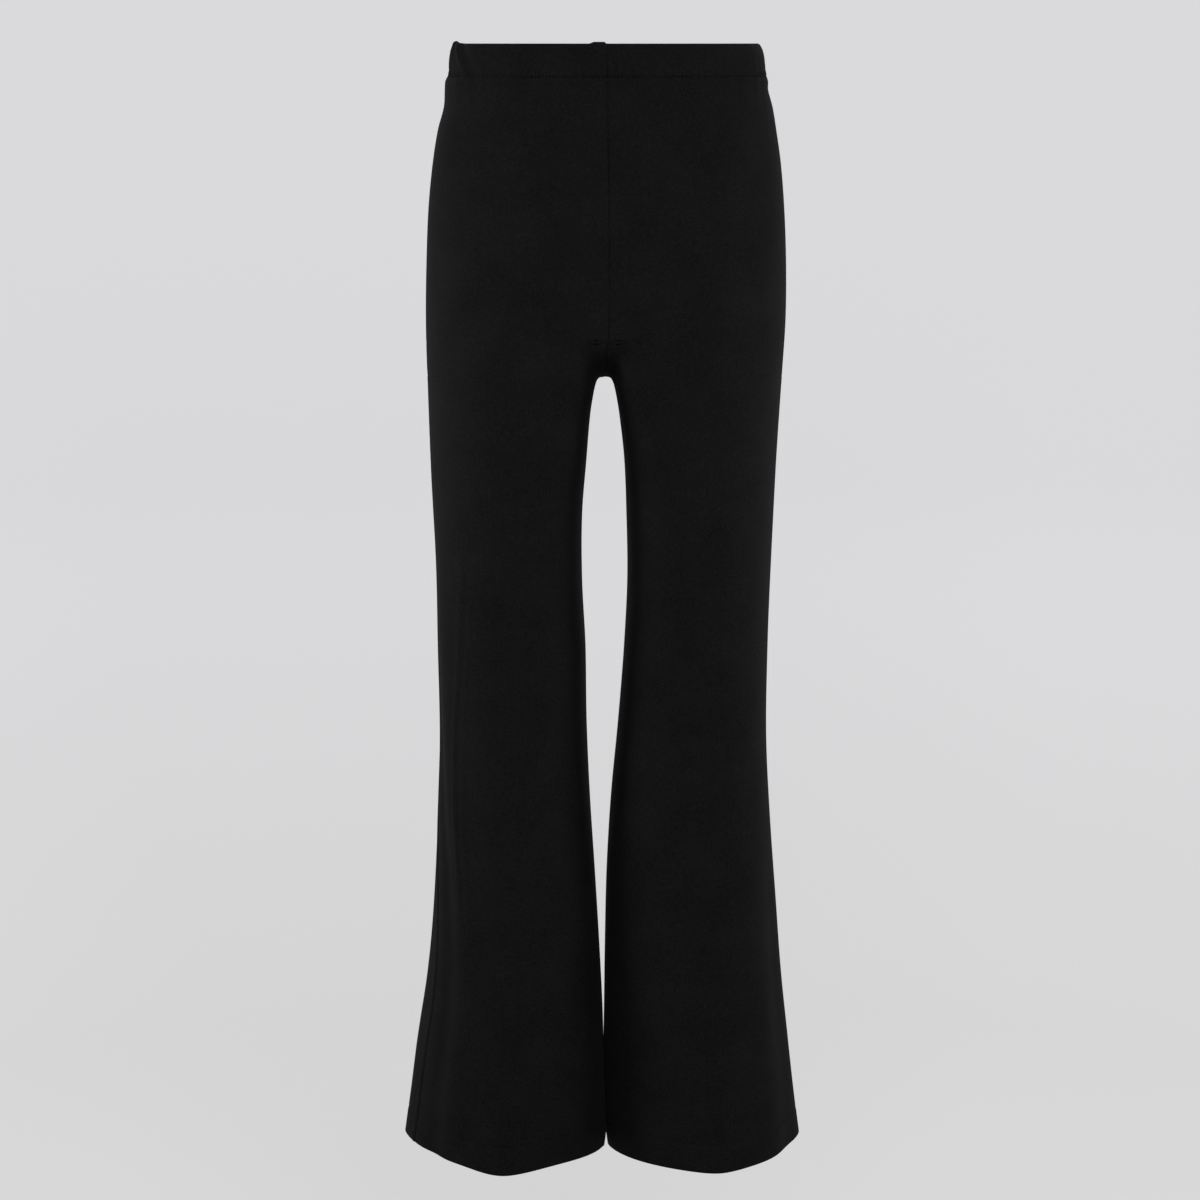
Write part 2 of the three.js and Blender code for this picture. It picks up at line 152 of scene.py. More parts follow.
# Legs: the inner outline from the centre plane, the line that stands furthest forward (ridge),
# front and back depths, how far behind the centre the inside-leg seams run, corner powers, and
# the turn of the side seams towards the front, in degrees. Above the hem the right leg's inside
# passes just in front of the left one's.
leg = byColumn(
    "drop innerRight innerLeft ridgeRight ridgeLeft front back inseamRight inseamLeft "
    "powerInner powerFront powerBack turnRight turnLeft",
    (140, 6, 6, 76, 76, 99, 119, 3, 3, 4, 2.1, 2.1, 0, 0),
    (210, 6, 6, 78, 78, 98, 117, 3, 3, 5, 2.1, 2.1, 0, 0),
    (275, 8, 8, 80, 80, 98, 105, 3, 3, 6, 2.1, 2.1, 0, 0),
    (310, 13, 13.5, 82, 82, 96, 96, 3, 3, 4.6, 2.1, 2.1, 0, 0),
    (350, 16.5, 18, 84, 84, 94, 88, 2, 2, 3.9, 2.1, 2.1, 0, 0),
    (400, 20.5, 20, 86, 86, 90, 80, 2, 2, 3.4, 2.15, 2.15, 0, 0),
    (460, 20.5, 21, 87, 87, 85, 72, 1, 1, 3, 2.2, 2.2, 0, 0),
    (520, 17.5, 18, 86, 86, 79, 66, 0, 0, 2.8, 2.2, 2.2, 0, 0),
    (590, 16.5, 12.5, 85, 85, 73, 62, -1, -1, 2.5, 2.2, 2.2, 0, 0),
    (660, 13.5, 6, 84, 85, 71, 62, -2.5, -2, 2.3, 2.1, 2.1, 8, 0),
    (730, 9, 2, 83, 87, 73, 66, -4.5, -2, 2.1, 2, 2.05, 19, 0),
    (800, 4.8, 0.4, 84, 90, 77, 72, -7, -1, 1.9, 1.85, 1.95, 26, -2),
    (860, 1.8, -0.4, 86, 94, 81, 78, -9.5, 0, 1.7, 1.7, 1.85, 26, -4),
    (910, 0.6, -1.1, 88, 97, 85, 82, -12, 0, 1.6, 1.6, 1.75, 23, -5),
    (950, -0.8, 0.4, 90, 100, 88, 85, -14, -2, 1.5, 1.5, 1.7, 21, -6),
    (968, -1.5, 1.2, 91, 101, 89.5, 86.5, -15, -3, 1.48, 1.48, 1.68, 20.5, -6),
    (985, 0.3, 3.4, 92, 102, 91, 88, -16, -4, 1.45, 1.45, 1.65, 20, -6),
)

# Soft folds: "at" and "drift" are shares of a panel's width from its inner seam, "lift" is how
# far the cloth stands out, and below zero it is a trough.
foldFade = {"seam": 0.12, "end": 0.3}
folds = (
    dict(side="right", face="front", at=0.82, drift=-0.08, top=330, bottom=1150, spread=0.07, lift=2),
    dict(side="right", face="front", at=0.92, drift=-0.08, top=400, bottom=1100, spread=0.05, lift=-1.8),
    dict(side="left", face="front", at=0.73, drift=-0.02, top=560, bottom=1200, spread=0.08, lift=1.8),
    dict(side="left", face="front", at=0.87, drift=-0.05, top=640, bottom=1200, spread=0.06, lift=-1.5),
    dict(side="right", face="back", at=0.66, drift=-0.06, top=300, bottom=640, spread=0.08, lift=-2.5),
    dict(side="left", face="back", at=0.62, drift=-0.02, top=310, bottom=700, spread=0.09, lift=-2.2),
    dict(side="right", face="back", at=0.30, drift=0.05, top=620, bottom=1200, spread=0.08, lift=2.6),
    dict(side="left", face="back", at=0.34, drift=-0.04, top=660, bottom=1200, spread=0.08, lift=2.4),
    dict(side="left", face="back", at=0.76, drift=0.04, top=680, bottom=1200, spread=0.07, lift=-2.4),
    dict(side="right", face="back", at=0.78, drift=0.02, top=650, bottom=1200, spread=0.07, lift=-2),
)

# Short drag lines and thin ridges, from one place to another: millimetres across from the inner
# seam, and drop. Each fades in and out over a share of its length.
creaseFade = 0.4
creaseNames = "side face fromAcross fromDrop toAcross toDrop spread lift"
creases = (
    ("right", "back", 14, 262, 96, 318, 8, -1.3),
    ("right", "back", 30, 292, 132, 330, 9, 0.8),
    ("right", "back", 48, 330, 150, 352, 8, -0.8),
    ("left", "back", 12, 268, 88, 312, 8, -1.2),
    ("left", "back", 34, 300, 120, 336, 9, 0.9),
    ("left", "back", 60, 334, 142, 372, 9, -0.7),
    ("right", "back", 40, 536, 126, 556, 6, -0.9),
    ("right", "back", 92, 566, 168, 548, 6, -0.7),
    ("right", "back", 52, 584, 120, 598, 7, 0.6),
    ("left", "back", 46, 548, 132, 532, 6, -0.9),
    ("left", "back", 84, 578, 160, 592, 7, -0.6),
    ("left", "back", 38, 612, 98, 604, 7, 0.5),
    ("right", "front", 18, 352, 62, 300, 7, -0.45),
    ("left", "front", 20, 346, 66, 304, 7, -0.4),
    ("right", "front", 172, 360, 163, 820, 2.6, 1.7),
    ("right", "front", 167, 380, 158, 820, 2.2, -0.9),
    ("right", "front", 163, 430, 156, 810, 2.6, 1.2),
    ("right", "front", 60, 610, 130, 622, 8, -0.3),
    ("left", "front", 70, 600, 138, 588, 8, -0.3),
)

# How the panels are sewn: grooves, the ridge that a pressed-over allowance raises, the small
# gathers under the elastic and the double hem.
sewing = {
    "groove": 0.85,
    "centreGroove": 0.6,    # the front seam lies flatter than the others
    "casingGroove": 0.4,
    "grooveSpread": 1.1,
    "welt": 0.35,
    "weltWidth": 9,
    "weltFoot": 2,          # it rises over this distance from the seam, and falls over "weltSoft"
    "weltSoft": 4,
    "weltFrom": 20,         # on the back panels, where it starts and how soon it is whole
    "weltOver": 30,
    "foldedHigher": 0.2,    # in the casing, where the allowances are folded over
    "foldedWider": 6,
    "gather": 0.34,
    "gatherReach": 20,
    "gatherPitch": 2.7,     # lengths of the puckers, of their wander and of their groups, over 2 pi
    "gatherWander": 19,
    "gatherGroup": 31,
    "gatherShift": 2,       # how far the wander moves them
    "hemProud": 0.15,
    "hemSoft": 4,
    "hemLine": 0.6,
    "hemLineSpread": 1.0,
    "crotchCalm": 7,        # this near to the crossing of the seams, the centre seam's groove
    "crotchCalmShare": 0.9,     # loses this share of its depth
    "seamCalm": 12,         # puckers and unevenness die out this close to a seam
    "uneven": 0.35,
    "unevenOver": 60,       # below the waist seam
}


# Smooth step from 0 to 1: 6t^5 - 15t^4 + 10t^3, flat at both ends.
def ease(t):
    t = np.clip(t, 0, 1)
    return t ** 3 * (t * (6 * t - 15) + 10)


# A cubic through one column of a table, with slopes from the neighbouring rows.
def lookUp(table, column, drop):
    x = table["drop"]
    y = table[column]
    low = np.maximum(np.arange(len(x)) - 1, 0)
    high = np.minimum(np.arange(len(x)) + 1, len(x) - 1)
    slope = (y[high] - y[low]) / (x[high] - x[low])
    place = np.clip(drop, x[0], x[-1])
    i = np.clip(np.searchsorted(x, place, side="right") - 1, 0, len(x) - 2)
    step = x[i + 1] - x[i]
    s = (place - x[i]) / step
    r = 1 - s
    start = (1 + 2 * s) * r * r * y[i] + s * r * r * step * slope[i]
    return start + s * s * (3 - 2 * s) * y[i + 1] - s * s * r * step * slope[i + 1]


# Radius of a rounded square at an angle: (|sin|^p + |cos|^p)^(-1/p), softened and 1 on the axes.
def squareness(angle, power):
    def soft(value):
        return (value ** 2 + cut["corner"]) ** (power / 2)
    onAxis = soft(1.0) + soft(0.0)
    return (onAxis / (soft(np.sin(angle)) + soft(np.cos(angle)))) ** (1 / power)


# Height that the waist's tilt gives a point: y times the slope, and less of it behind the sides.
def waistSlope(y):
    return cut["waistTilt"] / cut["tiltReach"] * np.minimum(y, cut["backTilt"] * y)


# Running sum of the steps along each row, from 0.
def summed(steps):
    return np.concatenate([np.zeros((len(steps), 1)), np.cumsum(steps, axis=1)], axis=1)


# Distance along each row of points from its first one.
def runLength(x, y):
    return summed(np.hypot(np.diff(x, axis=1), np.diff(y, axis=1)))


# Linear interpolation in every row at once: each row is moved clear of the one before it.
def rowwise(at, run, values):
    clear = np.arange(len(run))[:, None] * (run.max() + at.max() + 1)
    return np.interp((at + clear).ravel(), (run + clear).ravel(), values.ravel()).reshape(at.shape)


traceSteps = 320


# Half of the torso's section from the centre seam to the side seam: x = outer sin a and
# y = middle + depth cos a, times the squareness, with the centre seam's drift fading outwards.
def torsoTrace(side, face, drop):
    t = np.linspace(0, 1, traceSteps + 1)[None, :]
    angle = t * math.pi / 2
    middle = lookUp(outline, "middle", drop)
    depth = faces[face] * lookUp(torso, face, drop) - middle
    rounded = squareness(angle, lookUp(torso, "power", drop))
    x = lookUp(outline, side, drop) * np.sin(angle) * rounded
    y = middle + depth * np.cos(angle) * rounded
    ridgeX = lookUp(leg, "ridge" + side.capitalize(), drop)
    ridge = rowwise(ridgeX, x, np.broadcast_to(np.arange(traceSteps + 1.0), x.shape))
    return sides[side] * x + lookUp(torso, "seam", drop) * (1 - t) ** 2, y, ridge


# The crotch seam cuts a leg's section above the crotch. The seam's height is
# h (1 - (1 - s^p)^(1/p)) at a share s of its reach: what lies inside it moves onto it, and near it
# x is drawn in to the centre plane by the arch factor, (1 - r^q)^(1/q).
def cutAtCrotch(face, drop, x, y, inner):
    sign = faces[face]
    curve = rise[face]
    up = cut["crotch"] - drop
    share = np.clip(1 - up / curve["height"], 0, 1)
    reach = np.where(up > 0, (1 - share ** curve["power"]) ** (1 / curve["power"]), 0)
    span = lookUp(torso, face, drop) - sign * cut["crotchY"]
    seamY = cut["crotchY"] + sign * reach * span
    cutOff = inner & (up > 0) & (y * sign <= seamY * sign)
    along = np.clip((y - cut["crotchY"]) * sign / span, 0, 1)
    seamUp = curve["height"] * (1 - (1 - along ** curve["power"]) ** (1 / curve["power"]))
    below = np.where(along > cut["upright"], cut["archHeight"], seamUp - up)
    rest = 1 - np.clip(below / cut["archHeight"], 0, 1)
    arched = np.where(inner, x * (1 - rest ** cut["archPower"]) ** (1 / cut["archPower"]), x)
    return np.where(cutOff, 0, arched), np.where(cutOff, seamY, y)


# One panel's share of a leg's section, from the inside-leg seam round to the side seam: two
# quarter superellipses about the ridge, x = ridge + width sin a and y = base + depth |cos a|,
# each times the squareness. Past the side seam's turn the other face's depth and power hold.
def legTrace(side, face, drop):
    sign = faces[face]
    other = "back" if face == "front" else "front"
    name = side.capitalize()
    middle = lookUp(outline, "middle", drop)
    inseam = lookUp(leg, "inseam" + name, drop)
    ridgeX = lookUp(leg, "ridge" + name, drop)
    turn = np.radians(lookUp(leg, "turn" + name, drop)) * sign
    angle = -math.pi / 2 + np.linspace(0, 1, traceSteps + 1)[None, :] * (math.pi + turn)
    past = np.cos(angle) < 0
    inner = angle < 0
    depth = np.where(past, -sign * lookUp(leg, other, drop), sign * lookUp(leg, face, drop)) - middle
    outerPower = np.where(past, lookUp(leg, "power" + other.capitalize(), drop),
                          lookUp(leg, "power" + face.capitalize(), drop))
    rounded = squareness(angle, np.where(inner, lookUp(leg, "powerInner", drop), outerPower))
    base = middle + (inseam - middle) * np.maximum(-np.sin(angle), 0) ** 2
    y = base + depth * np.abs(np.cos(angle)) * rounded
    innerWidth = ridgeX - lookUp(leg, "inner" + name, drop)
    outerWidth = lookUp(outline, side, drop) - ridgeX
    x = ridgeX + np.where(inner, innerWidth, outerWidth) * np.sin(angle) * rounded
    x, y = cutAtCrotch(face, drop, x, y, inner)
    return sides[side] * x, y, 0.5 * traceSteps / (1 + turn / math.pi)


# Points at the given shares of a section: 0 to 0.5 up to the ridge, 0.5 to 1 after it. Where
# the crotch seam cuts a section short, the columns crowd towards the seam.
def spaced(trace, share, fullInner):
    x, y, ridge = trace
    run = runLength(x, y)
    steps = np.broadcast_to(np.arange(traceSteps + 1.0), run.shape)
    middle = rowwise(ridge, steps, run)
    crowding = np.maximum(fullInner / middle, 1)
    first = middle * np.minimum(2 * share, 1) ** crowding
    at = np.where(share < 0.5, first, middle + (run[:, -1:] - middle) * (2 * share - 1))
    return np.stack([rowwise(at, run, x), rowwise(at, run, y)], axis=2)


# Length of a section from its inner seam to the ridge.
def innerLength(trace):
    x, y, ridge = trace
    run = runLength(x, y)
    return rowwise(ridge, np.broadcast_to(np.arange(traceSteps + 1.0), run.shape), run)


# The smooth outside of a panel: the torso's section blends into the leg's, the top edge tilts
# down to the front and the hem hangs lower at the front and the inside of the leg.
def panelSurface(side, face, drop, share):
    curve = rise[face]
    toLeg = ease((drop - (cut["crotch"] - curve["blend"])) / (curve["blend"] - curve["split"]))
    fullInner = innerLength(legTrace(side, face, np.array([[float(cut["crotch"])]])))
    torsoPoints = spaced(torsoTrace(side, face, drop), share, fullInner)
    legPoints = spaced(legTrace(side, face, drop), share, np.where(drop < cut["crotch"], fullInner, 0))
    points = torsoPoints + (legPoints - torsoPoints) * toLeg[:, :, None]
    seam = toLeg * lookUp(torso, "seam", drop) * ease((cut["crotch"] - drop) / cut["seamFade"])
    points[:, :, 0] += seam * (1 - np.abs(points[:, :, 0]) / lookUp(outline, side, drop)) ** 2
    tilt = 1 - ease((drop - cut["tiltFrom"]) / cut["tiltOver"])
    sag = hemSag[side]
    front = sag["front"] * np.sin(math.pi * share) ** hemSag["frontPower"] if face == "front" else 0
    low = sag["all"] + sag["inseam"] * (1 - share) ** sag["inseamPower"] + front
    hang = ease((drop - hemSag["from"]) / hemSag["over"]) * low
    z = -drop + tilt * waistSlope(points[:, :, 1]) - hang
    return np.concatenate([points, z[:, :, None]], axis=2)


# Outward unit directions over a grid: the cross product of its two slopes.
def directions(points, outward):
    normal = np.cross(np.gradient(points, axis=0), np.gradient(points, axis=1)) * outward
    return normal / np.linalg.norm(normal, axis=2, keepdims=True)


seedSteps = {"side": 1.3, "face": 0.7, "start": 3}


# A number of its own for each panel, from which its waves, puckers and stitches start.
def panelSeed(side, face):
    return sides[side] * seedSteps["side"] + faces[face] * seedSteps["face"] + seedSteps["start"]


# Lengths of the cloth's slow waves, over 2 pi, across and down it, with the lean of the narrow
# ones, the shares of the narrow and the slanting ones, and how their starts differ.
waves = {
    "wide": (23, 61),
    "narrow": (11.7, 37),
    "slanting": (41, 29),
    "lean": 83,
    "narrowShare": 0.5,
    "slantingShare": 0.6,
    "shifts": (2.1, -1.7, 0.6),
}


# Slow unevenness between -1 and 1: three crossed sines of unrelated wavelengths.
def waviness(across, drop, seed):
    down, lean, slant = (shift * seed for shift in waves["shifts"])
    length, height = waves["wide"]
    first = np.sin(across / length + seed) * np.sin(drop / height + down)
    length, height = waves["narrow"]
    second = np.sin(across / length + lean + drop / waves["lean"]) * np.sin(drop / height + seed)
    length, height = waves["slanting"]
    third = np.sin(across / length + drop / height + slant)
    whole = 1 + waves["narrowShare"] + waves["slantingShare"]
    return (first + waves["narrowShare"] * second + waves["slantingShare"] * third) / whole


# Ridge beside a seam, where its allowances lie, and higher where they are folded into the casing.
def seamWelt(edge, drop):
    folded = 1 - ease((drop + cut["casingHalf"]) / (cut["waistJoin"] + cut["casingHalf"]))
    width = sewing["weltWidth"] + folded * sewing["foldedWider"]
    height = sewing["welt"] + folded * sewing["foldedHigher"]
    return height * ease(edge / sewing["weltFoot"]) * ease((width - edge) / sewing["weltSoft"])


# 0 at a piece's two side edges and 1 a little way in from them.
def offSeams(across, width):
    return ease(across / sewing["seamCalm"]) * ease((width - across) / sewing["seamCalm"])


# Small upright puckers that the elastic gives the cloth, fading down from the stitches.
def gathers(across, drop, width, seed):
    wander = sewing["gatherShift"] * np.sin(across / sewing["gatherWander"] + seed)
    group = np.sin(across / sewing["gatherGroup"] + seed)
    ripple = np.sin(across / sewing["gatherPitch"] + wander) * group
    fade = np.exp(-(drop - cut["waistJoin"]) / sewing["gatherReach"])
    return sewing["gather"] * ripple * fade * offSeams(across, width)


# Soft folds down a panel: a bell exp(-(d / spread)^2) across each, faded in and out at its ends.
def foldLift(side, face, share, drop):
    lift = np.zeros((len(drop), share.shape[1]))
    for fold in folds:
        if fold["side"] != side or fold["face"] != face:
            continue
        length = fold["bottom"] - fold["top"]
        end = foldFade["end"] * length
        centre = fold["at"] + fold["drift"] * (drop - fold["top"]) / length
        bell = np.exp(-((share - centre) / fold["spread"]) ** 2)
        faded = ease((drop - fold["top"]) / end) * ease((fold["bottom"] - drop) / end)
        lift += fold["lift"] * bell * faded
    return lift


# Drag lines: the same bell across the straight line between each one's two places.
def creaseLift(side, face, drop, across):
    lift = np.zeros_like(across)
    for row in creases:
        crease = dict(zip(creaseNames.split(), row))
        if crease["side"] != side or crease["face"] != face:
            continue
        dx = crease["toAcross"] - crease["fromAcross"]
        dy = crease["toDrop"] - crease["fromDrop"]
        length = math.hypot(dx, dy)
        fromX = across - crease["fromAcross"]
        fromY = drop - crease["fromDrop"]
        along = (fromX * dx + fromY * dy) / length ** 2
        bell = np.exp(-((fromX * dy - fromY * dx) / length / crease["spread"]) ** 2)
        lift += crease["lift"] * bell * ease(along / creaseFade) * ease((1 - along) / creaseFade)
    return lift


# The sewing: a groove exp(-(d / spread)^2) at each seam, shallow at the crossing of the seams, the
# ridge of the pressed allowances, and the hem's second layer below its line of stitches.
def seamLift(side, face, drop, across, width):
    fromCrossing = (drop - cut["crotch"]) / sewing["crotchCalm"]
    crossing = 1 - sewing["crotchCalmShare"] * np.exp(-fromCrossing ** 2)
    centre = sewing["centreGroove"] if face == "front" else sewing["groove"]
    lift = np.zeros_like(across)
    for fromSeam, depth in ((across, crossing * centre), (width - across, sewing["groove"])):
        lift -= depth * np.exp(-(fromSeam / sewing["grooveSpread"]) ** 2)
    if face == "back":                                  # side allowances lie towards the back
        started = ease((drop - sewing["weltFrom"]) / sewing["weltOver"])
        lift += seamWelt(width - across, drop) * started
    elif side == "right":                               # and those of the front seam to the right
        lift += seamWelt(across, drop)
    toHemLine = cut["hem"] - cut["hemTurn"] - drop
    lift += sewing["hemProud"] * ease(-toHemLine / sewing["hemSoft"])
    return lift - sewing["hemLine"] * np.exp(-(toHemLine / sewing["hemLineSpread"]) ** 2)


# How far the cloth stands off the smooth surface: the sum of all of these.
def panelLift(side, face, share, drop, across, width):
    seed = panelSeed(side, face)
    nearSeam = foldFade["seam"]
    lift = foldLift(side, face, share, drop) + creaseLift(side, face, drop, across)
    lift *= ease(share / nearSeam) * ease((1 - share) / nearSeam)
    started = ease((drop - cut["waistJoin"]) / sewing["unevenOver"])
    lift += sewing["uneven"] * waviness(across, drop, seed) * offSeams(across, width) * started
    lift += gathers(across, drop, width, seed)
    return lift + seamLift(side, face, drop, across, width)


# Rows and columns of a panel: the rows of each band from the waist seam to the hem, how far the
# bands reach from those seams and from the crotch, and how they crowd there.
grid = {
    "columns": 96,
    "crowd": 1.55,
    "waist": 8,
    "waistReach": 10,
    "torso": 60,
    "rise": 44,
    "riseReach": 70,
    "riseCrowd": 1.8,
    "under": 26,
    "underReach": 40,
    "underCrowd": 2.2,
    "leg": 118,
    "hem": 26,
    "hemReach": 6,
}


# Shares of a panel's width, crowding towards its seams: half of 1 - (1 - |t|)^c about the middle.
def panelShares():
    t = np.linspace(-1, 1, grid["columns"] + 1)
    return 0.5 + 0.5 * np.sign(t) * (1 - (1 - np.abs(t)) ** grid["crowd"])


# Drops of its rows: even steps, but powers of the step towards the crotch and away from it.
def panelDrops():
    top = cut["waistJoin"]
    crotch = cut["crotch"]
    torsoTop = top + grid["waistReach"]
    hemTop = cut["hem"] - cut["hemTurn"] - grid["hemReach"]
    bands = (
        np.linspace(top, torsoTop, grid["waist"], endpoint=False),
        np.linspace(torsoTop, crotch - grid["riseReach"], grid["torso"], endpoint=False),
        crotch - grid["riseReach"] * np.linspace(1, 0, grid["rise"]) ** grid["riseCrowd"],
        crotch + grid["underReach"] * np.linspace(0, 1, grid["under"] + 1)[1:] ** grid["underCrowd"],
        np.linspace(crotch + grid["underReach"], hemTop, grid["leg"])[1:],
        np.linspace(hemTop, cut["hem"], grid["hem"])[1:],
    )
    return np.concatenate(bands)[:, None]


stretches = ("rise", "thigh", "flare")     # the panel's solids, from the top


# The two panels of a leg, made together so that their walls agree at the seams. Each is a dict of
# grids: the smooth outside and the raised one, its directions, distance across, width, which way is out, the
# drop and the shares.
def legPanels(side, drop, share):
    made = {}
    for face in faces:
        points = panelSurface(side, face, drop, share)
        across = summed(np.linalg.norm(np.diff(points, axis=1), axis=2))
        outward = -sides[side] * faces[face]
        made[face] = {"smooth": points, "normal": directions(points, outward), "across": across,
                      "width": across[:, -1:], "outward": outward, "drop": drop, "share": share}
    front = made["front"]["normal"]
    back = made["back"]["normal"]
    sewn = drop[:, 0] > cut["crotch"]
    for column, rows in ((-1, slice(None)), (0, sewn)):
        shared = front[rows, column] + back[rows, column]
        shared /= np.linalg.norm(shared, axis=1, keepdims=True)
        front[rows, column] = back[rows, column] = shared
    for normal in (front, back):
        centre = normal[~sewn, 0]
        centre[:, 0] = 0
        centre[drop[~sewn, 0] == cut["crotch"]] = (0, 0, -1)
        normal[~sewn, 0] = centre / np.linalg.norm(centre, axis=1, keepdims=True)
    for face, panel in made.items():
        lift = panelLift(side, face, share, drop, panel["across"], panel["width"])
        panel["outside"] = panel["smooth"] + lift[:, :, None] * panel["normal"]
    return made


# A closed wall: an outer and an inner grid of the same size, joined round their edges. UV is
# millimetres across from the ridge and down, so that the knit runs with the cloth.
def makeShell(name, outer, inner, outward, across, drop):
    rows, columns = outer.shape[:2]
    index = np.arange(rows * columns).reshape(rows, columns)
    inside = index + rows * columns

    def strip(a, b, c, d):
        return np.stack([a.ravel(), b.ravel(), c.ravel(), d.ravel()], axis=1)

    quads = [
        strip(index[:-1, :-1], index[1:, :-1], index[1:, 1:], index[:-1, 1:]),
        strip(inside[:-1, :-1], inside[:-1, 1:], inside[1:, 1:], inside[1:, :-1]),
        strip(index[:-1, 0], inside[:-1, 0], inside[1:, 0], index[1:, 0]),
        strip(index[:-1, -1], index[1:, -1], inside[1:, -1], inside[:-1, -1]),
        strip(index[0, :-1], index[0, 1:], inside[0, 1:], inside[0, :-1]),
        strip(index[-1, :-1], inside[-1, :-1], inside[-1, 1:], index[-1, 1:]),
    ]
    quads = np.concatenate(quads)
    if outward < 0:
        quads = quads[:, ::-1]
    points = np.concatenate([outer.reshape(-1, 3), inner.reshape(-1, 3)])
    uv = np.stack(np.broadcast_arrays(across, -drop), axis=2).reshape(-1, 2)
    return makeMesh(name, points, quads, np.concatenate([uv, uv]))


sharpAngle = math.radians(55)     # edges that turn by more than this stay sharp


# An object from points in millimetres and faces with four corners, smooth but for sharp edges.
def makeMesh(name, points, quads, uv=None):
    mesh = bpy.data.meshes.new(name)
    mesh.from_pydata(points * metres, [], quads.tolist())
    if uv is not None:
        layer = mesh.uv_layers.new(name="cloth")
        layer.uv.foreach_set("vector", (uv[quads.ravel()] * metres).ravel())
    mesh.polygons.foreach_set("use_smooth", np.ones(len(quads), bool))
    mesh.set_sharp_from_angle(angle=sharpAngle)
    mesh.update()
    made = bpy.data.objects.new(name, mesh)
    bpy.context.collection.objects.link(made)
    return made


edges = {"foldStop": 0.995, "turnStep": 1.2}     # a fold stops just short of its full curve


# How far a folded edge draws a face back: a quarter circle, r - sqrt(r^2 - (r - d)^2), at
# distances d from the edge.
def foldDepth(fromEdge, radius):
    near = np.clip((radius - fromEdge) / radius, 0, edges["foldStop"])
    return radius * (1 - np.sqrt(1 - near ** 2))


# Depths of the cloth's two faces: one layer, two in the turned hem, with the turn-up's cut edge
# as a step. The fold at the hem is half a circle, so both faces meet in its middle.
def panelDepths(drop):
    turn = cut["hem"] - cut["hemTurn"]
    inner = cut["cloth"] * (1 + ease((drop - turn) / edges["turnStep"] + 0.5))
    rounding = foldDepth(cut["hem"] - drop, cut["cloth"])
    return rounding, inner - rounding


sheets = {     # widest and longest of each cut piece that shows, and its flat area
    "front_right": (0.262, 0.985, 0.226),
    "back_right": (0.290, 1.000, 0.227),
    "front_left": (0.262, 0.985, 0.226),
    "back_left": (0.290, 1.000, 0.227),
    "waistband_front": (0.200, 0.034, 0.0067),
    "waistband_back": (0.204, 0.034, 0.0068),
}

share = panelShares()[None, :]
drop = panelDrops()
panels = {side: legPanels(side, drop, share) for side in sides}
knitPieces = []
for side in sides:
    for face in faces:
        panel = panels[side][face]
        outerDepth, innerDepth = panelDepths(drop)
        outer = panel["outside"] - outerDepth[:, :, None] * panel["normal"]
        inner = panel["outside"] - innerDepth[:, :, None] * panel["normal"]
        node = f"{face}_{side}"
        ridge = panel["across"][:, grid["columns"] // 2, None]
        fromRidge = panel["across"] - ridge
        piece = makeShell(node + "_panel", outer, inner, panel["outward"], fromRidge, drop)
        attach(piece, "root")
        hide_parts(*[f"{node}_{stretch}" for stretch in stretches])
        width, length, area = sheets[node]
        knitPieces.append(piece)
        print(node, "panel,", len(piece.data.polygons), "faces, width", panel["width"].max().round(1))

# The casing: cloth folded over elastic and stitched through. The piece runs on below the stitches
# to the end of the turned cloth, where it meets the panels flush.
casing = {
    "columns": 480,
    "rows": {"fold": 8, "band": 9, "stitched": 13, "under": 3},
    "foldBand": 2.5,        # the fold's rows crowd over this distance from the top edge
    "foldRadius": 2,
    "belly": 0.5,
    "stitchDrop": 13,
    "lineBand": 2.4,        # close rows on either side of the stitches
    "groove": 0.12,
    "grooveSpread": 1.0,
    "dimple": 1.0,
    "dimpleAcross": 0.8,
    "dimpleAlong": 0.8,
    "puff": 0.42,
    "puffUp": 1.9,          # above the stitches
    "puffSpread": 1.0,
    "seamBumpUp": 1.4,      # the front seam's allowances lift the top edge too
    "seamBumpWidth": 16,
    "seamBumpFoot": 2.5,
    "seamBumpSoft": 6,
    "raiseReach": 16,       # what is raised at the top edge is level again this far down
    "ripple": 0.12,
    "ripplePitch": (1.9, 9),    # across and down, over 2 pi, with how they wander and lean
    "rippleWander": 13,
    "rippleShift": 2,
    "rippleLean": 37,
    "rippleEnd": 4,         # ripples end above the stitches, and gathers start below them
    "gatherStart": 3,
    "foldLoss": 0.45,       # share of a side fold's height lost on the way down to the stitches
    "foldEnd": 6,
    "turnedOver": 2.5,      # the elastic's thickness ends over this distance
    "liftInside": 0.6,      # share of the outside's relief that thickens the wall
    "seatStart": 0.6,       # below the stitches, where the piece starts to bend to the panel's edge
}
# Small folds at the right side seam: distance from it at the top and at the bottom, spread,
# lift, and how far the top edge rises there.
casingFolds = byColumn(
    "top bottom spread lift rise",
    (24, 20, 5, 1.1, 2.0),
    (34, 54, 4, 2.0, 0.5),
    (42, 66, 5, -2.2, 0),
    (60, 92, 10, 0.8, 0),
)
stitch = {
    "share": 0.8,           # of the distance between two needle holes
    "pitch": 3.0,
    "radius": 0.25,
    "sunk": 0.2,
    "dip": 0.9,             # share of its height that a stitch loses at its ends
    "taper": 0.97,
    "sides": 6,
    "rings": 5,
    "scatter": 0.12,        # of the pitch
    "pull": (0.55, 1.3),    # weakest and strongest pull of the thread
    "hemSeed": 5,
}


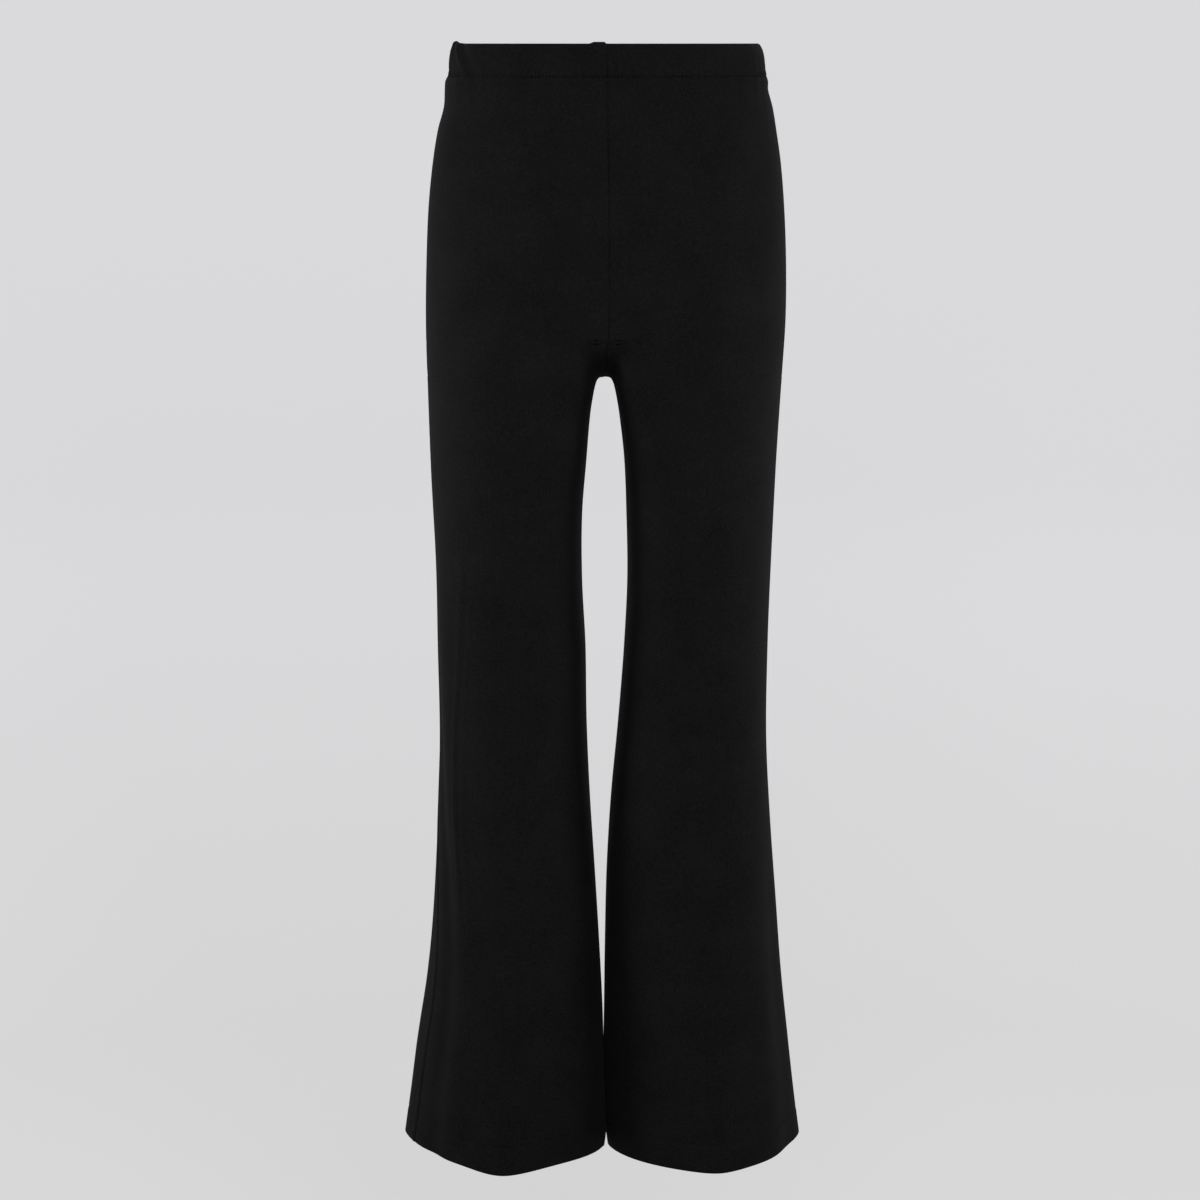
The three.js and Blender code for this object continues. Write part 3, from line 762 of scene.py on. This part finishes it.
# Needle holes along a seam: evenly spaced but for a small scatter, with the first and the last
# in the seams at its ends, and how hard the thread pulls at each.
def needleHoles(length, seed):
    scatter = np.random.default_rng(int(1000 * seed))
    count = int(round(length / stitch["pitch"]))
    step = length / count
    holes = np.arange(count + 1) * step
    holes[1:-1] += scatter.uniform(-stitch["scatter"], stitch["scatter"], count - 1) * step
    return holes, scatter.uniform(*stitch["pull"], count + 1)


# Drops of the casing's rows: squares of the step at the fold, close rows along the stitches.
def casingDrops():
    top = -cut["casingHalf"]
    line = casing["stitchDrop"]
    fold = casing["foldBand"]
    close = casing["lineBand"]
    rows = casing["rows"]
    return np.concatenate([
        top + fold * np.linspace(0, 1, rows["fold"], endpoint=False) ** 2,
        np.linspace(top + fold, line - close, rows["band"], endpoint=False),
        np.linspace(line - close, line + close, rows["stitched"], endpoint=False),
        np.linspace(line + close, cut["waistJoin"], rows["under"]),
    ])[:, None]


# A quarter of the casing in plan, its outward directions, and the distance across it. At both
# ends the directions lie in the centre planes, so that neighbouring quarters agree.
def casingPlan(side, face, drop, share, outward):
    flat = spaced(torsoTrace(side, face, drop), share, 0)
    along = np.gradient(flat, axis=1)
    along[:, 0] = (sides[side], 0)
    along[:, -1] = (0, -faces[face])
    along /= np.linalg.norm(along, axis=2, keepdims=True)
    normal = np.stack([along[:, :, 1], -along[:, :, 0]], axis=2) * outward
    tilted = np.diff(waistSlope(flat[:, :, 1]), axis=1)
    across = summed(np.sqrt((np.diff(flat, axis=1) ** 2).sum(axis=2) + tilted ** 2))
    return flat, normal, across


# Relief of the casing: belly sin(pi t) from the top edge to the stitches, crossed sines as ripples
# of the elastic, gathers below the stitches, and bells as grooves along them and at the seams.
def casingLift(side, face, drop, across, down, fromLine):
    width = across[:, -1:]
    pitch, height = casing["ripplePitch"]
    wander = casing["rippleShift"] * np.sin(across / casing["rippleWander"])
    upright = np.sin(drop / height + across / casing["rippleLean"])
    ripple = np.sin(across / pitch + wander) * upright * ease(-fromLine / casing["rippleEnd"])
    gathered = gathers(across, drop, width, panelSeed(side, face)) * ease(fromLine / casing["gatherStart"])
    lift = casing["belly"] * np.sin(math.pi * down) + casing["ripple"] * ripple + gathered
    lift -= casing["groove"] * np.exp(-(fromLine / casing["grooveSpread"]) ** 2)
    for fromSeam in (across, width - across):
        lift -= sewing["casingGroove"] * np.exp(-(fromSeam / sewing["grooveSpread"]) ** 2)
    return lift


# What only the right front quarter has: the ridge of the front seam's allowances and the side
# folds, bells again. Gives the relief, and how far the top edge is raised.
def casingBumps(drop, across, down):
    width = across[:, -1:]
    bumpEnd = (casing["seamBumpWidth"] - across) / casing["seamBumpSoft"]
    raised = casing["seamBumpUp"] * ease(across / casing["seamBumpFoot"]) * ease(bumpEnd)
    lift = seamWelt(across, drop)
    fade = (1 - casing["foldLoss"] * down) * ease((cut["waistJoin"] - drop) / casing["foldEnd"])
    for top, bottom, spread, height, up in zip(*casingFolds.values()):
        bell = np.exp(-((width - across - top - (bottom - top) * down) / spread) ** 2)
        lift += height * bell * fade
        raised += up * bell
    return lift, raised


# A dimple at each needle hole, exp(-r^2), and just above the stitches a puff between each two,
# half of 1 - cos.
def needleMarks(across, fromLine, holes, pulls):
    places = across / across[:, -1:] * holes[-1]
    nearest = np.clip(np.searchsorted(0.5 * (holes[1:] + holes[:-1]), places), 0, len(holes) - 1)
    sideways = (places - holes[nearest]) / casing["dimpleAcross"]
    dimple = pulls[nearest] * np.exp(-sideways ** 2 - (fromLine / casing["dimpleAlong"]) ** 2)
    between = 0.5 - 0.5 * np.cos(2 * math.pi * places / stitch["pitch"])
    puff = between * np.exp(-((fromLine + casing["puffUp"]) / casing["puffSpread"]) ** 2)
    return casing["puff"] * puff - casing["dimple"] * dimple


# A quarter of the casing: its plan moved out by its relief, with a quarter circle at the top edge.
# Below the stitches it is drawn over to the top row of the panel, so that the cloth runs on.
def casingQuarter(side, face):
    half = cut["casingHalf"]
    share = np.linspace(0, 1, casing["columns"] + 1)[None, :]
    drop = casingDrops()
    outward = -sides[side] * faces[face]
    flat, normal, across = casingPlan(side, face, drop, share, outward)
    width = across[:, -1:]
    fromLine = drop - casing["stitchDrop"]
    down = np.clip((drop + half) / (casing["stitchDrop"] + half), 0, 1)
    holes, pulls = needleHoles(width.mean(), panelSeed(side, face))
    lift = casingLift(side, face, drop, across, down, fromLine)
    lift += needleMarks(across, fromLine, holes, pulls)
    raised = np.zeros_like(across)
    if side == "right" and face == "front":
        bumps, raised = casingBumps(drop, across, down)
        lift += bumps
    raised *= 1 - np.clip((drop + half) / casing["raiseReach"], 0, 1) ** 2

    rounding = foldDepth(drop + half, casing["foldRadius"])
    turned = ease((fromLine + casing["turnedOver"]) / casing["turnedOver"])
    thickness = cut["casingWall"] + (cut["turnedWall"] - cut["casingWall"]) * turned
    thickness = thickness + casing["liftInside"] * lift

    def place(depth):
        xy = flat + (lift - depth)[:, :, None] * normal
        z = -drop + waistSlope(xy[:, :, 1]) + raised
        return np.concatenate([xy, z[:, :, None]], axis=2)

    outside = place(rounding)
    inside = place(thickness - rounding)
    panel = panels[side][face]
    at = across[-1] / width[-1] * panel["across"][0, -1]
    seat = [np.interp(at, panel["across"][0], panel["outside"][0, :, k]) for k in range(3)]
    start = casing["seatStart"]
    toSeat = ease((fromLine - start) / (cut["waistJoin"] - casing["stitchDrop"] - start))
    shift = toSeat[:, :, None] * (np.stack(seat, axis=-1) - outside[-1])
    return {"outside": outside + shift, "inside": inside + shift, "outward": outward,
            "across": across - across[:, casing["columns"] // 2, None], "drop": drop, "holes": holes}


casings = {}
for side in sides:
    for face in faces:
        quarter = casingQuarter(side, face)
        casings[side, face] = quarter
        node = f"waistband_{face}_{side}"
        piece = makeShell(node + "_casing", quarter["outside"], quarter["inside"], quarter["outward"],
                          quarter["across"], quarter["drop"])
        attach(piece, "root")
        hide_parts(node)
        width, length, area = sheets[f"waistband_{face}"]
        knitPieces.append(piece)
        width = np.ptp(quarter["across"])
        print(node, "casing,", len(piece.data.polygons), "faces, width", width.round(1))


# Threads from hole to hole along a line: each is a row of rings whose radius is r sqrt(1 - s^2),
# s from -1 to 1 along its length, sunk in the cloth and dipping at its ends. Two faces close each
# six-sided end. All of them are one mesh.
def stitches(name, line, normals, holes):
    run = np.concatenate([[0], np.cumsum(np.linalg.norm(np.diff(line, axis=0), axis=1))])
    holes = holes * run[-1] / holes[-1]
    middle = 0.5 * (holes[1:] + holes[:-1])
    length = stitch["share"] * np.diff(holes)

    def at(place, values):
        return np.stack([np.interp(place, run, values[:, k]) for k in range(3)], axis=-1)

    s = np.linspace(-stitch["taper"], stitch["taper"], stitch["rings"])
    centre = at(middle[:, None] + 0.5 * length[:, None] * s[None, :], line)
    normal = at(middle, normals)
    normal /= np.linalg.norm(normal, axis=1, keepdims=True)
    along = centre[:, -1] - centre[:, 0]
    along /= np.linalg.norm(along, axis=1, keepdims=True)
    side = np.cross(normal, along)
    angle = np.linspace(0, 2 * math.pi, stitch["sides"], endpoint=False)
    radius = stitch["radius"] * np.sqrt(1 - s ** 2)
    ring = np.cos(angle)[:, None] * side[:, None, None] + np.sin(angle)[:, None] * normal[:, None, None]
    height = (stitch["radius"] - stitch["sunk"]) * (1 - stitch["dip"] * s ** 2)
    points = centre[:, :, None] + ring * radius[None, :, None, None]
    points += normal[:, None, None] * height[None, :, None, None]
    index = np.arange(points[..., 0].size).reshape(points.shape[:3])
    turned = np.roll(index, -1, axis=2)
    walls = np.stack([index[:, :-1], turned[:, :-1], turned[:, 1:], index[:, 1:]], axis=-1)
    caps = []
    for end, order in ((0, 1), (-1, -1)):
        ends = index[:, end][:, ::order]
        caps += [ends[:, [3, 2, 1, 0]], ends[:, [5, 4, 3, 0]]]
    quads = np.concatenate([walls.reshape(-1, 4), *caps])
    piece = makeMesh(name, points.reshape(-1, 3), quads)
    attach(piece, "root")
    print(name, len(middle), "stitches")
    return piece


fineGrid = {"rowGap": 1.5, "lineColumns": 240, "allowanceColumns": 160}


# A level line across a panel, its outward directions and its length: the middle one of three
# close rows.
def lineOnPanel(side, face, dropHere):
    rows = dropHere + fineGrid["rowGap"] * np.array([[-1], [0], [1]])
    fine = np.linspace(0, 1, fineGrid["lineColumns"] + 1)[None, :]
    panel = legPanels(side, rows, fine)[face]
    return panel["outside"][1], panel["normal"][1], panel["width"][1, 0]


threadPieces = []
for side in sides:
    for face in faces:
        line, normals, width = lineOnPanel(side, face, cut["hem"] - cut["hemTurn"])
        holes = needleHoles(width, panelSeed(side, face) + stitch["hemSeed"])[0]
        threadPieces.append(stitches(f"hem_stitches_{face}_{side}", line, normals, holes))
        quarter = casings[side, face]
        row = int(np.argmin(np.abs(quarter["drop"][:, 0] - casing["stitchDrop"])))
        outwards = directions(quarter["outside"], quarter["outward"])[row]
        threadPieces.append(stitches(f"waist_stitches_{face}_{side}", quarter["outside"][row], outwards,
                                     quarter["holes"]))

allowance = {
    "width": 8,
    "thick": 0.9,
    "columns": 7,
    "rowSpacing": 4,
    "seamGap": 0.3,
    "clear": 0.15,          # behind the cloth
    "curl": 0.5,
    "wave": 0.35,
    "waveLength": 9,        # over 2 pi, with how it wanders
    "waveShift": 1.3,
    "waveWander": 31,
    "belowWaist": 2,        # where allowances start and end, from the seams that they meet
    "aboveCrotch": 9,
    "belowCrotch": 5,
    "intoTurn": 2,
}


# A pressed seam allowance on the inside: a ribbon that runs beside the seam at the cloth's inner
# face, its free edge curling up by the square of the distance, closed as a thin wall.
def seamAllowance(name, side, face, fromInner, top, bottom):
    drops = np.linspace(top, bottom, int((bottom - top) / allowance["rowSpacing"]) + 2)[:, None]
    fine = np.linspace(0, 1, fineGrid["allowanceColumns"] + 1)[None, :]
    panel = legPanels(side, drops, fine)[face]
    inner = panel["outside"] - cut["cloth"] * panel["normal"]
    order = 1 if fromInner else -1          # columns are counted from the seam
    run = (panel["across"] if fromInner else panel["width"] - panel["across"])[:, ::order]
    shares = np.linspace(allowance["seamGap"], allowance["width"], allowance["columns"])
    at = np.broadcast_to(shares, (len(drops), len(shares)))

    def sampled(values):
        return np.stack([rowwise(at, run, values[:, ::order, k]) for k in range(3)], axis=2)

    normal = sampled(panel["normal"])
    t = (at / allowance["width"])[:, :, None]
    wander = allowance["waveShift"] * np.sin(drops / allowance["waveWander"])
    wave = allowance["wave"] * np.sin(drops / allowance["waveLength"] + wander)[:, :, None]
    away = allowance["clear"] + (allowance["curl"] + wave) * t ** 2
    near = sampled(inner) - away * normal
    far = near - allowance["thick"] * normal
    piece = makeShell(name, near, far, panel["outward"] * order, at, drops)
    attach(piece, "root")
    print(name, len(piece.data.polygons), "faces")
    return piece


waistEnd = cut["waistJoin"] + allowance["belowWaist"]
legTop = cut["crotch"] + allowance["belowCrotch"]
centreEnd = cut["crotch"] - allowance["aboveCrotch"]
legEnd = cut["hem"] - cut["hemTurn"] + allowance["intoTurn"]
allowances = []     # name, side, face, whether it lies at the inner seam, and its ends
for side in sides:
    allowances.append((f"side_allowance_{side}", side, "back", False, waistEnd, legEnd))
    allowances.append((f"inside_leg_allowance_{side}", side, "back", True, legTop, legEnd))
allowances.append(("front_centre_allowance", "right", "front", True, waistEnd, centreEnd))
allowances.append(("back_centre_allowance", "left", "back", True, waistEnd, centreEnd))
allowancePieces = [seamAllowance(*row) for row in allowances]


# Linear colour of an sRGB hex value, by the standard curve.
def linear(hexColour):
    channels = [int(hexColour[i:i + 2], 16) / 255 for i in (1, 3, 5)]
    return [c / 12.92 if c <= 0.04045 else ((c + 0.055) / 1.055) ** 2.4 for c in channels] + [1]


# One node with its settings, and its inputs by name, or by number as i0, i1 and so on: a value, or
# another's output.
def addNode(tree, kind, settings=None, **inputs):
    made = tree.nodes.new(kind)
    for name, value in (settings or {}).items():
        setattr(made, name, value)
    for name, value in inputs.items():
        numbered = name[0] == "i" and name[1:].isdigit()
        socket = made.inputs[int(name[1:]) if numbered else name]
        if isinstance(value, bpy.types.NodeSocket):
            tree.links.new(value, socket)
        else:
            socket.default_value = value
    return made


def newMaterial(name):
    material = bpy.data.materials.new(name)
    material.use_nodes = True
    return material, material.node_tree, material.node_tree.nodes["Principled BSDF"]


# Double knit of viscose and polyamide with elastane, dyed black: a dense, dry face of fine
# upright ribs, 0.7 mm apart and drawn at 1.1 mm to show. The eye sees an almost even black, a
# faint bloom where the surface turns away from it, and a soft broken grain.
knit = {
    "dark": "#020202",
    "light": "#1b1b1b",
    "roughness": 0.75,
    "specular": 0.05,
    "sheen": 0.035,
    "sheenRoughness": 0.4,
    "sheenTint": "#b4b4b4",
    "ribSpacing": 1.1,
    "courseSpacing": 0.9,
    "courseShare": 0.35,
    "loopTone": 0.05,
    "ribHeight": 0.05,
    "grainHeight": 0.24,
    "mottleShare": 1.6,
    "patchShare": 0.45,
}
# Noises in the cloth: size in millimetres, detail and roughness.
knitNoises = {
    "grain": (1.6, 3, 0.6),
    "mottle": (1.6, 4, 0.65),
    "patch": (38, 3, 0.5),
}


def knitMaterial():
    material, tree, shader = newMaterial("black_double_knit")
    uv = addNode(tree, "ShaderNodeUVMap", {"uv_map": "cloth"}).outputs["UV"]
    place = addNode(tree, "ShaderNodeTexCoord").outputs["Object"]
    axes = addNode(tree, "ShaderNodeSeparateXYZ", Vector=uv)
    sines = []
    for axis, spacing in (("X", knit["ribSpacing"]), ("Y", knit["courseSpacing"])):
        phase = addNode(tree, "ShaderNodeMath", {"operation": "MULTIPLY"},
                        i0=axes.outputs[axis], i1=2 * math.pi / (spacing * metres))
        sines.append(addNode(tree, "ShaderNodeMath", {"operation": "SINE"}, i0=phase.outputs[0]))
    ribs, courses = (sine.outputs[0] for sine in sines)
    loops = addNode(tree, "ShaderNodeMath", {"operation": "MULTIPLY_ADD"},
                    i0=courses, i1=knit["courseShare"], i2=ribs).outputs[0]
    noise = {}
    for name, (size, detail, roughness) in knitNoises.items():
        made = addNode(tree, "ShaderNodeTexNoise", Vector=place, Scale=1 / (size * metres),
                       Detail=detail, Roughness=roughness)
        noise[name] = made.outputs["Fac"]

    even = 0.5 * (1 - knit["mottleShare"] - knit["patchShare"])     # keeps the mean in the middle
    tone = addNode(tree, "ShaderNodeMath", {"operation": "MULTIPLY_ADD"},
                   i0=noise["mottle"], i1=knit["mottleShare"], i2=even).outputs[0]
    tone = addNode(tree, "ShaderNodeMath", {"operation": "MULTIPLY_ADD"},
                   i0=noise["patch"], i1=knit["patchShare"], i2=tone).outputs[0]
    tone = addNode(tree, "ShaderNodeMath", {"operation": "MULTIPLY_ADD", "use_clamp": True},
                   i0=loops, i1=knit["loopTone"], i2=tone).outputs[0]
    ramp = addNode(tree, "ShaderNodeValToRGB", Fac=tone)
    ramp.color_ramp.elements[0].color = linear(knit["dark"])
    ramp.color_ramp.elements[1].color = linear(knit["light"])
    tree.links.new(ramp.outputs["Color"], shader.inputs["Base Color"])
    bump = addNode(tree, "ShaderNodeBump", Height=loops, Strength=1.0,
                   Distance=knit["ribHeight"] * metres)
    grain = addNode(tree, "ShaderNodeBump", Height=noise["grain"], Normal=bump.outputs["Normal"],
                    Strength=1.0, Distance=knit["grainHeight"] * metres)
    tree.links.new(grain.outputs["Normal"], shader.inputs["Normal"])
    shader.inputs["Roughness"].default_value = knit["roughness"]
    shader.inputs["Specular IOR Level"].default_value = knit["specular"]
    shader.inputs["Sheen Weight"].default_value = knit["sheen"]
    shader.inputs["Sheen Roughness"].default_value = knit["sheenRoughness"]
    shader.inputs["Sheen Tint"].default_value = linear(knit["sheenTint"])
    return material


# Core-spun polyester thread, dyed with the cloth: a little smoother than it, and as dark.
thread = {
    "colour": "#0d0d0d",
    "roughness": 0.6,
    "specular": 0.12,
    "twist": 0.5,
    "twistDetail": 2,
    "twistStrength": 0.6,
    "twistHeight": 0.05,
}


def threadMaterial():
    material, tree, shader = newMaterial("black_polyester_thread")
    place = addNode(tree, "ShaderNodeTexCoord").outputs["Object"]
    ply = addNode(tree, "ShaderNodeTexNoise", Vector=place, Scale=1 / (thread["twist"] * metres),
                  Detail=thread["twistDetail"])
    bump = addNode(tree, "ShaderNodeBump", Height=ply.outputs["Fac"],
                   Strength=thread["twistStrength"], Distance=thread["twistHeight"] * metres)
    tree.links.new(bump.outputs["Normal"], shader.inputs["Normal"])
    shader.inputs["Base Color"].default_value = linear(thread["colour"])
    shader.inputs["Roughness"].default_value = thread["roughness"]
    shader.inputs["Specular IOR Level"].default_value = thread["specular"]
    return material


for material, pieces in ((knitMaterial(), knitPieces + allowancePieces), (threadMaterial(), threadPieces)):
    for piece in pieces:
        piece.data.materials.append(material)
print("materials done")

studio = {
    "floor": -1.45,
    "radius": 2.7,
    "curve": 0.9,
    "flatTo": 0.6,          # share of the radius where the floor has one more ring
    "eye": 0.001,
    "bendRings": 24,
    "spokes": 96,
    "height": 3.4,
    "wallPaper": "#f1f1f3",
    # painted shade: the floor is given a darker paper colour than the wall
    "shadedFloorPaper": "#dededf",
    "air": "#ffffff",
    "airStrength": 0.47,
    "airBelow": 0.5,        # light from under the horizon, as a share of that from above
    "airFrom": -0.6,        # heights between which the one turns into the other
    "airTo": 0.2,
    "through": 0.34,        # painted glow: the paper gives off light of its own colour, which lifts it and fades shadows on it
}
lamps = (
    dict(name="side_left", place=(-2.3, -0.5, -0.42), aim=(0, 0, -0.4), size=(0.8, 0.7),
         power=2.2, spread=45),
    dict(name="side_right", place=(2.3, -0.5, -0.42), aim=(0, 0, -0.4), size=(0.8, 0.7),
         power=1.7, spread=45),
    dict(name="front_fill", place=(0.3, -2.4, 0.6), aim=(0, 0, -0.45), size=(2, 1.2),
         power=22, spread=180),
)


# Seamless paper all round: a flat floor, a quarter circle and an upright wall, as a profile
# turned about the vertical axis. Only the camera sees it, so it neither lights nor shades the cloth.
def paperSweep():
    r = studio["radius"]
    c = studio["curve"]
    bend = np.linspace(0, math.pi / 2, studio["bendRings"])
    radius = np.concatenate([[studio["eye"], studio["flatTo"] * r, r - c], r - c + c * np.sin(bend[1:]), [r]])
    height = np.concatenate([[0, 0, 0], c - c * np.cos(bend[1:]), [studio["height"]]]) + studio["floor"]
    turn = np.linspace(0, 2 * math.pi, studio["spokes"], endpoint=False)
    points = np.stack([radius[:, None] * np.cos(turn), radius[:, None] * np.sin(turn),
                       height[:, None] + 0 * turn], axis=2)
    index = np.arange(radius.size * turn.size).reshape(radius.size, turn.size)
    turned = np.roll(index, -1, axis=1)
    quads = np.stack([index[:-1], index[1:], turned[1:], turned[:-1]], axis=-1).reshape(-1, 4)
    sweep = makeMesh("paper_sweep", points.reshape(-1, 3) / metres, quads)
    for ray in ("diffuse", "glossy", "transmission", "shadow"):
        setattr(sweep, "visible_" + ray, False)
    return sweep


# Uncoated paper from a roll: matt and pale, darker towards the floor by painted shade, and with a painted
# glow that lifts it.
def paperMaterial():
    material, tree, shader = newMaterial("matt_paper")
    place = addNode(tree, "ShaderNodeTexCoord").outputs["Object"]
    axes = addNode(tree, "ShaderNodeSeparateXYZ", Vector=place)
    # painted shade: over the curve the colour turns from the darker floor paper to the wall paper
    heights = {"From Min": studio["floor"], "From Max": studio["floor"] + studio["curve"]}
    fade = addNode(tree, "ShaderNodeMapRange", {"interpolation_type": "SMOOTHSTEP"},
                   Value=axes.outputs["Z"], **heights)
    ramp = addNode(tree, "ShaderNodeValToRGB", Fac=fade.outputs["Result"])
    ramp.color_ramp.elements[0].color = linear(studio["shadedFloorPaper"])
    ramp.color_ramp.elements[1].color = linear(studio["wallPaper"])
    tree.links.new(ramp.outputs["Color"], shader.inputs["Base Color"])
    shader.inputs["Roughness"].default_value = 1.0
    shader.inputs["Specular IOR Level"].default_value = 0.0
    # painted glow: the paper gives off light in its wall colour, evenly all over, though no lamp is behind it
    shader.inputs["Emission Color"].default_value = linear(studio["wallPaper"])
    shader.inputs["Emission Strength"].default_value = studio["through"]
    return material


# A soft rectangular lamp that the camera doesn't see, turned towards its aim. Its grid narrows the
# light to a spread in degrees.
def softbox(name, place, aim, size, power, spread):
    light = bpy.data.lights.new(name, "AREA")
    light.spread = math.radians(spread)
    light.shape = "RECTANGLE"
    light.size, light.size_y = size
    light.energy = power
    made = bpy.data.objects.new(name, light)
    bpy.context.collection.objects.link(made)
    made.location = place
    made.rotation_euler = (Vector(aim) - Vector(place)).to_track_quat("-Z", "Y").to_euler()
    made.visible_camera = False


# Even light from all round, weaker from under the horizon.
def studioAir():
    world = bpy.data.worlds.new("studio_air")
    bpy.context.scene.world = world
    world.use_nodes = True
    air = world.node_tree
    around = addNode(air, "ShaderNodeTexCoord").outputs["Generated"]
    axes = addNode(air, "ShaderNodeSeparateXYZ", Vector=around)
    fromTo = {
        "From Min": studio["airFrom"],
        "From Max": studio["airTo"],
        "To Min": studio["airStrength"] * studio["airBelow"],
        "To Max": studio["airStrength"],
    }
    strength = addNode(air, "ShaderNodeMapRange", {"interpolation_type": "SMOOTHSTEP"},
                       Value=axes.outputs["Z"], **fromTo)
    background = air.nodes["Background"]
    background.inputs["Color"].default_value = linear(studio["air"])
    air.links.new(strength.outputs["Result"], background.inputs["Strength"])


paperSweep().data.materials.append(paperMaterial())
for lamp in lamps:
    softbox(**lamp)
studioAir()
bpy.context.scene.view_settings.view_transform = "Standard"
print("studio lit")
